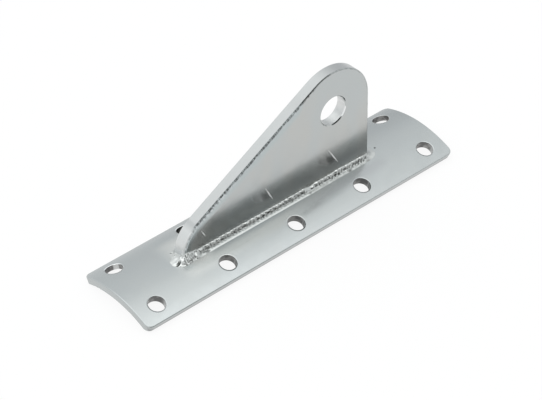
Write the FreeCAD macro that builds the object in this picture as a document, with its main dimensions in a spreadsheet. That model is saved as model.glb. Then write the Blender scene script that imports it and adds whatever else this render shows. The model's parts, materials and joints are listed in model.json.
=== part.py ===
import FreeCAD, Part
import math
import os
import Sketcher
from FreeCAD import Vector

# A welded mast vang bracket for a small sailing boat.
#
# A triangular pin lug of stainless plate stands along the crown of a base plate that
# is bent to the mast. Ten holes take the rivets or screws that hold the base plate to
# the front of the mast, and the vang's fork is pinned through the hole at the lug's
# tall end. A fillet weld runs round the lug's foot: a rippled bead along each side,
# and a turn of weld round each end, which spreads out in front of the toe.
#
# Millimetres and degrees. +X runs along the mast from the lug's low toe to its tall
# heel, +Y along the pin and +Z away from the mast. The origin is under the middle of
# the plate, level with its two long lower edges, on which the bracket rests.

SIZES = {
    # Base plate: flat bar bent round the mast
    "mast_radius": 42.0,
    "plate_thickness": 3.2,
    "plate_length": 150.0,
    "plate_width": 38.1,  # of the flat bar, at mid thickness
    "plate_corner_radius": 2.5,
    "plate_edge_round": 0.5,
    # Fastener holes: two rows, drilled square to the bend and evenly spaced
    "hole_diameter": 6.6,
    "hole_end_distance": 9.0,  # from the end of the plate to the first hole's middle
    "holes_per_row": 5,
    "hole_row_angle": 16.0,  # from the crown, seen along the mast
    # Lug: plate on edge, with its pin hole at the tall end
    "lug_thickness": 4.8,
    "lug_top_radius": 17.7,
    "lug_toe_radius": 15.2,
    "lug_toe_reach": 46.3,  # from the middle of the base plate
    "lug_edge_bevel": 0.35,
    "pin_hole_diameter": 12.2,
    "pin_hole_place": 27.5,  # along the plate from its middle
    "pin_hole_height": 30.5,  # above the crown
    "pin_hole_bevel": 0.3,
    # Fillet weld: how far it reaches over the plate and rises up the lug
    "weld_reach": 2.7,
    "weld_rise": 1.8,
    "toe_weld_reach": 3.3,
    "toe_weld_rise": 1.5,
    "heel_weld_reach": 2.2,
    "heel_weld_rise": 1.3,
    "end_turn_overlap": 1.6,  # how far a turn reaches along the lug's sides
    "ripple_pitch": 1.5,
    "ripple_depth": 0.18,
    "ripple_lean": 0.5,  # how far a ripple's middle trails its ends
    "steps_per_corner": 6,  # of an end turn, each a ripple's crest or valley
}

OUTER_RADIUS = "(Sizes.mast_radius + Sizes.plate_thickness)"
HALF_BEND = "(Sizes.plate_width / (2 * Sizes.mast_radius + Sizes.plate_thickness) * 180 / pi)"
AXIS_DROP = (
    "((Sizes.mast_radius + Sizes.plate_edge_round) * cos(%s)"
    " + Sizes.plate_edge_round * (sin(%s) - 1))" % (HALF_BEND, HALF_BEND)
)
CROWN_HEIGHT = "(%s - %s)" % (OUTER_RADIUS, AXIS_DROP)

HORIZONTAL_AXIS, VERTICAL_AXIS = -1, -2  # a sketch's own axes
START, END, CENTRE = range(1, 4)  # points of an edge in a sketch

SAME_PLACE = 0.01  # two places closer than this are one

# The weld's face in section, as shares of its reach over the plate and rise up the lug
WELD_SECTION = [(0, 1), (0.2, 0.9), (0.62, 0.3), (1, 0)]
BURIED_SHARE = 0.5  # of its last stretch, by which it goes on into the plate

# Slow swells of a hand-laid bead: share of its size, and length from one to the next
BEAD_SWELLS = [(0.06, 32.0), (0.04, 14.5)]


def make_sheet(doc):
    """Put every driving size in a spreadsheet, one row each, with its name as alias."""
    sheet = doc.addObject("Spreadsheet::Sheet", "Sizes")
    for row, (name, value) in enumerate(SIZES.items(), start=1):
        sheet.set("A%d" % row, name.replace("_", " "))
        sheet.set("B%d" % row, str(value))
        sheet.setAlias("B%d" % row, name)
    doc.recompute()
    return sheet


def derived_sizes(sheet):
    """The places that pieces share, worked out from the sheet as the sketches do it."""
    outer = sheet.mast_radius + sheet.plate_thickness
    half_bend = sheet.plate_width / (2 * sheet.mast_radius + sheet.plate_thickness)
    drop = (sheet.mast_radius + sheet.plate_edge_round) * math.cos(half_bend)
    drop += sheet.plate_edge_round * (math.sin(half_bend) - 1)
    return {"outer_radius": outer, "axis_drop": drop, "crown_height": outer - drop}


def new_body(doc, name):
    body = doc.addObject("PartDesign::Body", name)
    body.Label = name
    return body


def sketch_on(body, role, name):
    """A sketch on one of the body's own origin planes."""
    plane = next(p for p in body.Origin.OriginFeatures if p.Role == role)
    sketch = body.newObject("Sketcher::SketchObject", name)
    sketch.AttachmentSupport = [(plane, "")]
    sketch.MapMode = "FlatFace"
    return sketch


def constrain(sketch, kind, *where, value=None):
    """Add a constraint, and bind its size to an expression where one is given."""
    if value is None:
        sketch.addConstraint(Sketcher.Constraint(kind, *where))
        return
    start_value = sketch.evalExpression(value)
    if kind == "Angle":
        start_value = math.radians(float(start_value))
    index = sketch.addConstraint(Sketcher.Constraint(kind, *where, float(start_value)))
    sketch.setExpression("Constraints[%d]" % index, value)


def pocket_through(body, sketch, name):
    """Cut a sketch through the whole body, both ways from its plane."""
    pocket = body.newObject("PartDesign::Pocket", name)
    pocket.Profile = sketch
    pocket.Type = "ThroughAll"
    pocket.SideType = "Symmetric"
    return pocket


def round_edges(body, base, name, edges, size):
    """Fillet the named edges of a feature, with the radius bound to the sheet."""
    fillet = body.newObject("PartDesign::Fillet", name)
    fillet.Base = (base, edges)
    fillet.setExpression("Radius", size)
    return fillet


def bevel_edges(body, base, name, edges, size):
    """Chamfer the named edges of a feature, with the bevel's size bound to the sheet."""
    chamfer = body.newObject("PartDesign::Chamfer", name)
    chamfer.Base = (base, edges)
    chamfer.setExpression("Size", size)
    return chamfer


def edges_where(shape, test):
    """Names of the edges whose middle point and edge pass the test."""
    names = []
    for number, edge in enumerate(shape.Edges, start=1):
        middle = edge.valueAt((edge.FirstParameter + edge.LastParameter) / 2)
        if test(edge, middle):
            names.append("Edge%d" % number)
    return names


def draw_plate_section(sketch):
    """The bent bar's section: two arcs on the mast's axis, closed by two radial edges."""
    drop = float(sketch.evalExpression(AXIS_DROP))
    outer = float(sketch.evalExpression(OUTER_RADIUS))
    inner = float(sketch.evalExpression("Sizes.mast_radius"))
    bend = math.radians(float(sketch.evalExpression(HALF_BEND)))
    centre = Vector(0, -drop, 0)
    first, last = math.pi / 2 - bend, math.pi / 2 + bend
    for radius in (outer, inner):
        circle = Part.Circle(centre, Vector(0, 0, 1), radius)
        sketch.addGeometry(Part.ArcOfCircle(circle, first, last))
    for angle in (first, last):
        ray = Vector(math.cos(angle), math.sin(angle), 0)
        sketch.addGeometry(Part.LineSegment(centre + ray * inner, centre + ray * outer))
    outer_arc, inner_arc, right_edge, left_edge = range(4)
    constrain(sketch, "Coincident", inner_arc, CENTRE, outer_arc, CENTRE)
    constrain(sketch, "PointOnObject", outer_arc, CENTRE, VERTICAL_AXIS)
    constrain(sketch, "DistanceY", outer_arc, CENTRE, HORIZONTAL_AXIS, START, value=AXIS_DROP)
    constrain(sketch, "Radius", outer_arc, value=OUTER_RADIUS)
    constrain(sketch, "Radius", inner_arc, value="Sizes.mast_radius")
    constrain(sketch, "Coincident", right_edge, START, inner_arc, START)
    constrain(sketch, "Coincident", right_edge, END, outer_arc, START)
    constrain(sketch, "Coincident", left_edge, START, inner_arc, END)
    constrain(sketch, "Coincident", left_edge, END, outer_arc, END)
    constrain(sketch, "PointOnObject", outer_arc, CENTRE, right_edge)
    constrain(sketch, "PointOnObject", outer_arc, CENTRE, left_edge)
    constrain(sketch, "Symmetric", outer_arc, START, outer_arc, END, VERTICAL_AXIS)
    constrain(sketch, "Angle", right_edge, START, left_edge, START, value="2 * " + HALF_BEND)


def drill_hole_row(body, side):
    """One row of fastener holes, on the side of the crown that side gives as -1 or 1."""
    word = "left" if side > 0 else "right"
    sketch = sketch_on(body, "XY_Plane", word + "_row_hole")
    tilt = "%d * Sizes.hole_row_angle" % -side
    sketch.setExpression("AttachmentOffset.Rotation.Axis.x", "1")
    sketch.setExpression("AttachmentOffset.Rotation.Axis.z", "0")
    sketch.setExpression("AttachmentOffset.Rotation.Angle", tilt)
    sketch.setExpression("AttachmentOffset.Base.z", "-" + AXIS_DROP)
    sketch.addGeometry(Part.Circle(Vector(0, 0, 0), Vector(0, 0, 1), 1))
    constrain(sketch, "PointOnObject", 0, CENTRE, HORIZONTAL_AXIS)
    first = "Sizes.plate_length / 2 - Sizes.hole_end_distance"
    constrain(sketch, "DistanceX", 0, CENTRE, HORIZONTAL_AXIS, START, value=first)
    constrain(sketch, "Diameter", 0, value="Sizes.hole_diameter")
    pocket = body.newObject("PartDesign::Pocket", word + "_row_first_hole")
    pocket.Profile = sketch
    pocket.Type = "ThroughAll"
    pocket.Reversed = True
    body.Document.recompute()
    row = body.newObject("PartDesign::LinearPattern", word + "_row")
    row.Originals = [pocket]
    row.Direction = (sketch, ["H_Axis"])
    row.Mode = "Extent"
    row.setExpression("Length", "Sizes.plate_length - 2 * Sizes.hole_end_distance")
    row.setExpression("Occurrences", "Sizes.holes_per_row")
    body.Tip = row
    return row


def make_base_plate(doc, sheet):
    body = new_body(doc, "base_plate")
    section = sketch_on(body, "YZ_Plane", "plate_section")
    draw_plate_section(section)
    bar = body.newObject("PartDesign::Pad", "bent_bar")
    bar.Profile = section
    bar.SideType = "Symmetric"
    bar.setExpression("Length", "Sizes.plate_length")
    doc.recompute()

    end = sheet.plate_length / 2
    axis_z = -derived_sizes(sheet)["axis_drop"]

    def is_corner(edge, middle):
        straight = edge.Curve.TypeId == "Part::GeomLine"
        return straight and abs(abs(middle.x) - end) < SAME_PLACE

    corners = edges_where(bar.Shape, is_corner)
    body.Tip = round_edges(body, bar, "rounded_corners", corners, "Sizes.plate_corner_radius")
    doc.recompute()

    def on_rim(edge, middle):
        radius = math.hypot(middle.y, middle.z - axis_z)
        surfaces = derived_sizes(sheet)["outer_radius"], sheet.mast_radius
        return any(abs(radius - surface) < SAME_PLACE for surface in surfaces)

    rims = edges_where(body.Tip.Shape, on_rim)
    body.Tip = round_edges(body, body.Tip, "eased_edges", rims, "Sizes.plate_edge_round")
    doc.recompute()
    for side in (-1, 1):
        drill_hole_row(body, side)
    doc.recompute()
    return body


def draw_lug_profile(sketch):
    """The lug from the side: round top, straight back, sloping front, round toe."""
    def number(text):
        return float(sketch.evalExpression(text))

    crown, foot = number(CROWN_HEIGHT), number(CROWN_HEIGHT + " - Sizes.plate_thickness / 2")
    top_radius, toe_radius = number("Sizes.lug_top_radius"), number("Sizes.lug_toe_radius")
    top = Vector(number("Sizes.pin_hole_place"), crown + number("Sizes.pin_hole_height"), 0)
    toe = Vector(toe_radius - number("Sizes.lug_toe_reach"), crown, 0)
    apart = top - toe
    lean = math.atan2(apart.y, apart.x) + math.acos((toe_radius - top_radius) / apart.Length)
    square = Vector(math.cos(lean), math.sin(lean), 0)
    back_x, front_x = top.x + top_radius, toe.x - toe_radius
    up = Vector(0, 0, 1)
    sketch.addGeometry(Part.ArcOfCircle(Part.Circle(top, up, top_radius), 0, lean))
    sketch.addGeometry(Part.LineSegment(top + square * top_radius, toe + square * toe_radius))
    sketch.addGeometry(Part.ArcOfCircle(Part.Circle(toe, up, toe_radius), lean, math.pi))
    sketch.addGeometry(Part.LineSegment(Vector(front_x, crown, 0), Vector(front_x, foot, 0)))
    sketch.addGeometry(Part.LineSegment(Vector(front_x, foot, 0), Vector(back_x, foot, 0)))
    sketch.addGeometry(Part.LineSegment(Vector(back_x, foot, 0), Vector(back_x, top.y, 0)))
    top_arc, slope, toe_arc, front, foot_line, back = range(6)
    constrain(sketch, "Tangent", top_arc, END, slope, START)
    constrain(sketch, "Tangent", slope, END, toe_arc, START)
    constrain(sketch, "Tangent", toe_arc, END, front, START)
    constrain(sketch, "Coincident", front, END, foot_line, START)
    constrain(sketch, "Coincident", foot_line, END, back, START)
    constrain(sketch, "Tangent", back, END, top_arc, START)
    constrain(sketch, "Vertical", front)
    constrain(sketch, "Horizontal", foot_line)
    constrain(sketch, "Vertical", back)
    constrain(sketch, "Radius", top_arc, value="Sizes.lug_top_radius")
    constrain(sketch, "Radius", toe_arc, value="Sizes.lug_toe_radius")
    constrain(sketch, "DistanceX", HORIZONTAL_AXIS, START, top_arc, CENTRE, value="Sizes.pin_hole_place")
    height = CROWN_HEIGHT + " + Sizes.pin_hole_height"
    constrain(sketch, "DistanceY", HORIZONTAL_AXIS, START, top_arc, CENTRE, value=height)
    constrain(sketch, "DistanceX", front, END, HORIZONTAL_AXIS, START, value="Sizes.lug_toe_reach")
    constrain(sketch, "DistanceY", HORIZONTAL_AXIS, START, toe_arc, CENTRE, value=CROWN_HEIGHT)
    foot_height = CROWN_HEIGHT + " - Sizes.plate_thickness / 2"
    constrain(sketch, "DistanceY", HORIZONTAL_AXIS, START, foot_line, START, value=foot_height)


def make_vang_lug(doc, sheet):
    body = new_body(doc, "vang_lug")
    profile = sketch_on(body, "XZ_Plane", "lug_profile")
    draw_lug_profile(profile)
    blank = body.newObject("PartDesign::Pad", "lug_blank")
    blank.Profile = profile
    blank.SideType = "Symmetric"
    blank.setExpression("Length", "Sizes.lug_thickness")
    doc.recompute()

    face = sheet.lug_thickness / 2
    outline = edges_where(blank.Shape, lambda edge, middle: abs(abs(middle.y) - face) < SAME_PLACE)
    body.Tip = bevel_edges(body, blank, "bevelled_outline", outline, "Sizes.lug_edge_bevel")

    hole = sketch_on(body, "XZ_Plane", "pin_hole_circle")
    hole.addGeometry(Part.Circle(Vector(0, 0, 0), Vector(0, 0, 1), 1))
    constrain(hole, "DistanceX", HORIZONTAL_AXIS, START, 0, CENTRE, value="Sizes.pin_hole_place")
    height = CROWN_HEIGHT + " + Sizes.pin_hole_height"
    constrain(hole, "DistanceY", HORIZONTAL_AXIS, START, 0, CENTRE, value=height)
    constrain(hole, "Diameter", 0, value="Sizes.pin_hole_diameter")
    body.Tip = pocket_through(body, hole, "pin_hole")
    doc.recompute()

    def on_pin_rim(edge, middle):
        circle = edge.Curve.TypeId == "Part::GeomCircle"
        return circle and abs(edge.Curve.Radius - sheet.pin_hole_diameter / 2) < SAME_PLACE

    rims = edges_where(body.Tip.Shape, on_pin_rim)
    body.Tip = bevel_edges(body, body.Tip, "bevelled_pin_hole", rims, "Sizes.pin_hole_bevel")

    seat = sketch_on(body, "YZ_Plane", "plate_surface")
    seat.addGeometry(Part.Circle(Vector(0, 0, 0), Vector(0, 0, 1), 1))
    constrain(seat, "PointOnObject", 0, CENTRE, VERTICAL_AXIS)
    constrain(seat, "DistanceY", 0, CENTRE, HORIZONTAL_AXIS, START, value=AXIS_DROP)
    constrain(seat, "Radius", 0, value=OUTER_RADIUS)
    body.Tip = pocket_through(body, seat, "coped_foot")
    doc.recompute()
    return body


def bead_swell(x):
    """How much fuller or leaner a hand-laid bead is at x, as a factor near 1."""
    return 1 + sum(share * math.sin(2 * math.pi * x / length) for share, length in BEAD_SWELLS)


def weld_line(sheet, places, foot, outward, reach, rise, hollow=0):
    """The weld's face in section at one place of the lug's foot.

    It runs from the lug's face down to the plate and straight on into it, where it is
    trimmed later. A hollow lowers it between the two.
    """
    radius, axis_z = places["outer_radius"], -places["axis_drop"]
    line = []
    for share_out, share_up in WELD_SECTION:
        place = foot + outward * (reach * share_out)
        surface = axis_z + math.sqrt(radius ** 2 - place.y ** 2)
        line.append(Vector(place.x, place.y, surface + rise * share_up))
    for point in line[1:-1]:
        point.z -= hollow
    line[-1] += (line[-1] - line[-2]) * BURIED_SHARE
    return line


def plate_surface_rod(sheet, places):
    """A rod whose surface is the base plate's outside, to trim the weld to it."""
    start = Vector(-sheet.plate_length, 0, -places["axis_drop"])
    return Part.makeCylinder(
        places["outer_radius"], 2 * sheet.plate_length, start, Vector(1, 0, 0)
    )


def faceted_solid(rings):
    """A solid of flat facets through a row of closed rings with as many points each."""
    facets = [Part.Face(Part.makePolygon(ring + ring[:1])) for ring in (rings[0], rings[-1])]
    for ring, following in zip(rings, rings[1:]):
        for point in range(len(ring)):
            a, b = ring[point - 1], ring[point]
            c, d = following[point - 1], following[point]
            if b != d:
                facets.append(Part.Face(Part.makePolygon([a, b, d, a])))
            if a != c:
                facets.append(Part.Face(Part.makePolygon([a, d, c, a])))
    shell = Part.makeShell(facets)
    shell.sewShape()
    return Part.makeSolid(shell).removeSplitter()


def make_side_weld(doc, sheet, name, side):
    """Facets from ripple crest to ripple valley and back, trimmed to the plate."""
    places = derived_sizes(sheet)
    face = sheet.lug_thickness / 2
    foot_z = places["crown_height"] - sheet.plate_thickness / 2
    first = sheet.end_turn_overlap - sheet.lug_toe_reach
    last = sheet.pin_hole_place + sheet.lug_top_radius - sheet.end_turn_overlap
    ripples = round((last - first) / sheet.ripple_pitch)
    step = (last - first) / (2 * ripples)
    rings = []
    for number in range(2 * ripples + 1):
        x = first + number * step
        size, hollow, lean = 1, 0, 0
        if number not in (0, 2 * ripples):
            size, lean = bead_swell(x), sheet.ripple_lean
            hollow = sheet.ripple_depth if number % 2 == 0 else 0
        foot = Vector(x, side * face, 0)
        line = weld_line(
            sheet, places, foot, Vector(0, side, 0),
            sheet.weld_reach * size, sheet.weld_rise * size, hollow,
        )
        for point in line[1:-1]:
            point.x += lean
        rings.append([Vector(x, side * face, foot_z)] + line)
    node = doc.addObject("Part::Feature", name)
    node.Label = name
    node.Shape = faceted_solid(rings).cut(plate_surface_rod(sheet, places))
    return node


def turn_places(sheet, end_x, outward):
    """Places of the lug's foot round one of its ends, each with its way outwards.

    They go from the right side over the end to the left side, fanning at each corner.
    """
    face = sheet.lug_thickness / 2
    start_x = end_x - outward * sheet.end_turn_overlap
    steps = int(sheet.steps_per_corner)
    fan = [math.pi / 2 * step / steps for step in range(steps + 1)]
    places = [(Vector(start_x, -face, 0), Vector(0, -1, 0))]
    for angle in fan:
        way = Vector(outward * math.sin(angle), -math.cos(angle), 0)
        places.append((Vector(end_x, -face, 0), way))
    places.append((Vector(end_x, 0, 0), Vector(outward, 0, 0)))
    for angle in fan:
        way = Vector(outward * math.cos(angle), math.sin(angle), 0)
        places.append((Vector(end_x, face, 0), way))
    places.append((Vector(start_x, face, 0), Vector(0, 1, 0)))
    return places


def make_end_weld(doc, sheet, lug, name, end_x, outward, end_reach, end_rise):
    """The turn of weld round one end of the lug, in facets that fan from its middle.

    It takes over from the side beads with their size, and goes over to a size of its own
    in front of the end. It is trimmed to the lug and to the plate.
    """
    places = derived_sizes(sheet)
    crown = places["crown_height"]
    start_x = end_x - outward * sheet.end_turn_overlap
    low = Vector(start_x, 0, crown - sheet.plate_thickness / 2)
    stations = turn_places(sheet, end_x, outward)
    rings = []
    for number, (foot, way) in enumerate(stations):
        share = abs(way.x)
        reach = sheet.weld_reach + (end_reach - sheet.weld_reach) * share
        rise = sheet.weld_rise + (end_rise - sheet.weld_rise) * share
        inner = number not in (0, len(stations) - 1)
        hollow = sheet.ripple_depth if inner and number % 2 == 0 else 0
        line = weld_line(sheet, places, foot, way, reach, rise, hollow)
        high = Vector(start_x, 0, crown + sheet.weld_rise)
        rings.append([low, high] + line)
    node = doc.addObject("Part::Feature", name)
    node.Label = name
    turn = faceted_solid(rings)
    node.Shape = turn.cut(lug.Shape).cut(plate_surface_rod(sheet, places))
    return node


def check(doc, nodes):
    for item in doc.Objects:
        if "Invalid" in item.State or "Error" in item.State:
            raise RuntimeError("%s failed: %s" % (item.Name, item.State))
    for node in nodes:
        if node.Shape.isNull() or not node.Shape.isValid() or len(node.Shape.Solids) != 1:
            raise RuntimeError("%s has no valid single solid" % node.Label)


def main():
    doc = FreeCAD.newDocument("mast_vang_bracket")
    sheet = make_sheet(doc)
    lug = make_vang_lug(doc, sheet)
    toe_x = -sheet.lug_toe_reach
    heel_x = sheet.pin_hole_place + sheet.lug_top_radius
    toe_size = sheet.toe_weld_reach, sheet.toe_weld_rise
    heel_size = sheet.heel_weld_reach, sheet.heel_weld_rise
    nodes = [
        make_base_plate(doc, sheet),
        lug,
        make_side_weld(doc, sheet, "right_side_weld", -1),
        make_side_weld(doc, sheet, "left_side_weld", 1),
        make_end_weld(doc, sheet, lug, "toe_weld", toe_x, -1, *toe_size),
        make_end_weld(doc, sheet, lug, "heel_weld", heel_x, 1, *heel_size),
    ]
    doc.recompute()
    check(doc, nodes)
    os.makedirs("parts", exist_ok=True)
    for node in nodes:
        node.Shape.exportStep(os.path.join("parts", node.Label + ".step"))
        print("%s: %.1f cubic millimetres" % (node.Label, node.Shape.Volume))


main()
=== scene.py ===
"""Looks of the welded mast vang bracket: satin stainless steel with a hand-laid weld.

Metres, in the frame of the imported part: +X from the lug's low toe to its tall heel,
+Y along the pin hole, +Z away from the mast. The mast side rests on the floor. The
near side is the one at -Y, which the photograph shows. The right row of holes is the
near one, and the left row is the far one.
"""
import json
import math

import bpy
from mathutils import Matrix, Vector, noise


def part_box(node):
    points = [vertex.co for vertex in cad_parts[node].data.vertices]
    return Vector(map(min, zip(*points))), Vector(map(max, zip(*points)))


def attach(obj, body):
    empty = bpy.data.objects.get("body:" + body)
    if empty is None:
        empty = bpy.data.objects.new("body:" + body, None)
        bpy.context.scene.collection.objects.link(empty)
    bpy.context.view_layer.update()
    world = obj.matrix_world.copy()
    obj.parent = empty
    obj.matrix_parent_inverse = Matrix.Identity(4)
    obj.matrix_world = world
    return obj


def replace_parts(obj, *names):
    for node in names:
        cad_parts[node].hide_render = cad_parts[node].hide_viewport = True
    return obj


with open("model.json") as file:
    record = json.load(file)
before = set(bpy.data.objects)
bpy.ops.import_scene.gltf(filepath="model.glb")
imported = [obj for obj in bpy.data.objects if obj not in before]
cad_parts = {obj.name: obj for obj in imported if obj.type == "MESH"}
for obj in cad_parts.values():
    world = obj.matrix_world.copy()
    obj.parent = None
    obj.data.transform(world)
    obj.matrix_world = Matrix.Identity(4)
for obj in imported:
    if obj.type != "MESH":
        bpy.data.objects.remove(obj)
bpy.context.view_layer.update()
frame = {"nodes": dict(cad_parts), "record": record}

MM = 0.001

# The photograph's viewpoint
PHOTO_WIDTH_PX = 542
FOCAL_LENGTH_PX = 2094.24
SENSOR_WIDTH_MM = 36.0
CAMERA_AZIMUTH = math.radians(-39.975)
CAMERA_ELEVATION = math.radians(39.802)
CAMERA_ROLL = math.radians(-1.314)
CAMERA_DISTANCE = 781.934 * MM
CAMERA_OFFSET = (-1.234 * MM, 1.223 * MM)

# The plain studio
FLOOR_HALF_SIZE = 12.0
FLOOR_COLOUR = (0.90, 0.90, 0.90)
FLOOR_GLOW_SHARE = 0.9
ROOM_COLOUR = (0.95, 0.97, 0.98)
# What else the steel sees round it: a direction as azimuth and elevation, the angles
# from it within which the colour is full and beyond which it is gone, and the colour
SURROUNDINGS = [
    (130, 9, 2, 32, (0.675, 0.695, 0.715)),  # a far wall
    (260, 78, 30, 48.5, (1.48, 1.50, 1.50)),  # the ceiling
    (5, 23, 26.5, 32.5, (0.285, 0.293, 0.287)),  # a dim side of the room
]
KEY_AZIMUTH = math.radians(46.7)
KEY_ELEVATION = math.radians(64.8)
KEY_DISTANCE = 1.3
KEY_WIDTH = 0.78
KEY_POWER = 0.5

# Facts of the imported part
MOUNTS = {mount["name"]: mount for mount in frame["record"]["mounts"]}
HOLES = [mount for name, mount in MOUNTS.items() if name.startswith("right_row_hole")]
HOLE_RADIUS = HOLES[0]["dims"]["r_mm"] * MM
HOLE_PITCH = abs(HOLES[1]["pos_m"][0] - HOLES[0]["pos_m"][0])
PIN_PLACE = Vector(MOUNTS["pin_hole"]["pos_m"])
PIN_RADIUS = MOUNTS["pin_hole"]["dims"]["r_mm"] * MM
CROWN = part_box("base_plate")[1].z
PLATE_HALF_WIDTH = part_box("base_plate")[1].y
PLATE_RADIUS = (MOUNTS["mast_seat"]["dims"]["r_mm"] + HOLES[0]["dims"]["length_mm"]) * MM
BEND_AXIS_Z = CROWN - PLATE_RADIUS
LUG_LOW, LUG_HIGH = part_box("vang_lug")
LUG_TOE_RADIUS = 15.2 * MM


def spherical(azimuth, elevation):
    """The direction from the object towards a viewer at that azimuth and elevation."""
    return Vector((
        math.sin(azimuth) * math.cos(elevation),
        -math.cos(azimuth) * math.cos(elevation),
        math.sin(elevation),
    ))


def make_camera():
    crown = Vector((0, 0, CROWN))
    back = spherical(CAMERA_AZIMUTH, CAMERA_ELEVATION)
    level = Vector((math.cos(CAMERA_AZIMUTH), math.sin(CAMERA_AZIMUTH), 0))
    upright = back.cross(level)
    right = level * math.cos(CAMERA_ROLL) + upright * math.sin(CAMERA_ROLL)
    up = upright * math.cos(CAMERA_ROLL) - level * math.sin(CAMERA_ROLL)
    data = bpy.data.cameras.new("camera")
    data.sensor_width = SENSOR_WIDTH_MM
    data.lens = SENSOR_WIDTH_MM * FOCAL_LENGTH_PX / PHOTO_WIDTH_PX
    data.clip_start = 0.01
    camera = bpy.data.objects.new("camera", data)
    place = crown + right * CAMERA_OFFSET[0] + up * CAMERA_OFFSET[1] + back * CAMERA_DISTANCE
    camera.matrix_world = Matrix.Translation(place) @ Matrix((right, up, back)).transposed().to_4x4()
    bpy.context.collection.objects.link(camera)
    bpy.context.scene.camera = camera


class Nodes:
    """A short way to write a node tree."""

    def __init__(self, tree):
        self.tree = tree
        tree.nodes.clear()

    def add(self, kind, *inputs, **settings):
        node = self.tree.nodes.new("ShaderNode" + kind)
        for name, value in settings.items():
            setattr(node, name, value)
        for index, value in enumerate(inputs):
            self.plug(node, index, value)
        return node

    def plug(self, node, where, value):
        if value is None:
            return
        if isinstance(value, bpy.types.NodeSocket):
            self.tree.links.new(value, node.inputs[where])
        else:
            node.inputs[where].default_value = value

    def maths(self, operation, *values):
        return self.add("Math", *values, operation=operation).outputs[0]

    def times(self, *values):
        """All the values multiplied together."""
        product = values[0]
        for value in values[1:]:
            product = self.maths("MULTIPLY", product, value)
        return product

    def rest(self, share):
        """What a share leaves of 1."""
        return self.maths("SUBTRACT", 1.0, share)

    def clamped(self, value):
        """The value, or 0 or 1 where it is beyond them."""
        return self.maths("MINIMUM", self.maths("MAXIMUM", value, 0.0), 1.0)

    def vector(self, operation, *values):
        node = self.add("VectorMath", *values, operation=operation)
        return node.outputs["Value" if operation in ("LENGTH", "DISTANCE", "DOT_PRODUCT") else "Vector"]

    def join(self, x, y, z):
        """A vector from its three parts."""
        return self.add("CombineXYZ", x, y, z).outputs[0]

    def split(self, place):
        """The three parts of a vector."""
        return self.add("SeparateXYZ", place).outputs

    def ramp(self, value, low, high, to_low=0.0, to_high=1.0):
        """value from low to high, smoothly, becomes to_low to to_high."""
        node = self.add("MapRange", value, low, high, to_low, to_high, interpolation_type="SMOOTHSTEP")
        return node.outputs[0]

    def beyond(self, value, limits, least=0.0, most=1.0):
        """least up to the first limit in millimetres, and most from the second on."""
        return self.ramp(value, limits[0] * MM, limits[1] * MM, least, most)

    def within(self, value, limits, most=1.0, least=0.0):
        """most up to the first limit in millimetres, and least from the second on."""
        return self.ramp(value, limits[0] * MM, limits[1] * MM, most, least)

    def blend(self, share, first, second):
        """A mix of two colours, or of two numbers."""
        kind = "FLOAT" if isinstance(first, float) else "RGBA"
        if isinstance(first, bpy.types.NodeSocket) and first.type == "VALUE":
            kind = "FLOAT"
        socket_type = "VALUE" if kind == "FLOAT" else "RGBA"
        node = self.add("Mix", data_type=kind)
        self.plug(node, 0, share)
        for name, value in (("A", first), ("B", second)):
            socket = next(s for s in node.inputs if s.name == name and s.type == socket_type)
            if isinstance(value, bpy.types.NodeSocket):
                self.tree.links.new(value, socket)
            else:
                socket.default_value = value if kind == "FLOAT" else (*value, 1)
        return next(s for s in node.outputs if s.type == socket_type)

    def grain(self, place, scale, detail=2.0, stretch=(1, 1, 1)):
        """Noise from 0 to 1 whose lumps are about 1 / scale of a metre wide."""
        if stretch != (1, 1, 1):
            place = self.vector("MULTIPLY", place, stretch)
        node = self.add("TexNoise", place)
        node.inputs["Scale"].default_value = scale
        node.inputs["Detail"].default_value = detail
        return node.outputs[0]

    def varied(self, place, scale, least, most):
        """A number that wanders from least to most, with lumps as wide as grain's."""
        return self.ramp(self.grain(place, scale), 0.3, 0.7, least, most)

    def rounding(self, inside, width):
        """The height, from 0 to 1, of a rounded edge of that width at a distance inside it."""
        short = self.rest(self.clamped(self.maths("DIVIDE", inside, width)))
        return self.rest(self.times(short, short))

    def bump(self, height, distance, under=None):
        """A height of 0 to 1 becomes a relief of that distance in metres."""
        node = self.add("Bump")
        node.inputs["Strength"].default_value = 1.0
        node.inputs["Distance"].default_value = distance
        self.plug(node, "Height", height)
        self.plug(node, "Normal", under)
        return node.outputs[0]

    def finish(self, shader, kind="OutputMaterial"):
        self.tree.links.new(shader.outputs[0], self.add(kind).inputs[0])


def make_surroundings():
    world = bpy.data.worlds.new("studio")
    world.use_nodes = True
    nodes = Nodes(world.node_tree)
    direction = nodes.add("TexCoord").outputs["Generated"]
    colour = ROOM_COLOUR
    for azimuth, elevation, full, gone, lit in SURROUNDINGS:
        towards = spherical(math.radians(azimuth), math.radians(elevation))
        facing = nodes.vector("DOT_PRODUCT", direction, towards)
        share = nodes.ramp(facing, math.cos(math.radians(gone)), math.cos(math.radians(full)))
        colour = nodes.blend(share, colour, lit)
    nodes.finish(nodes.add("Background", colour, 1.0), "OutputWorld")
    bpy.context.scene.world = world


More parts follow.
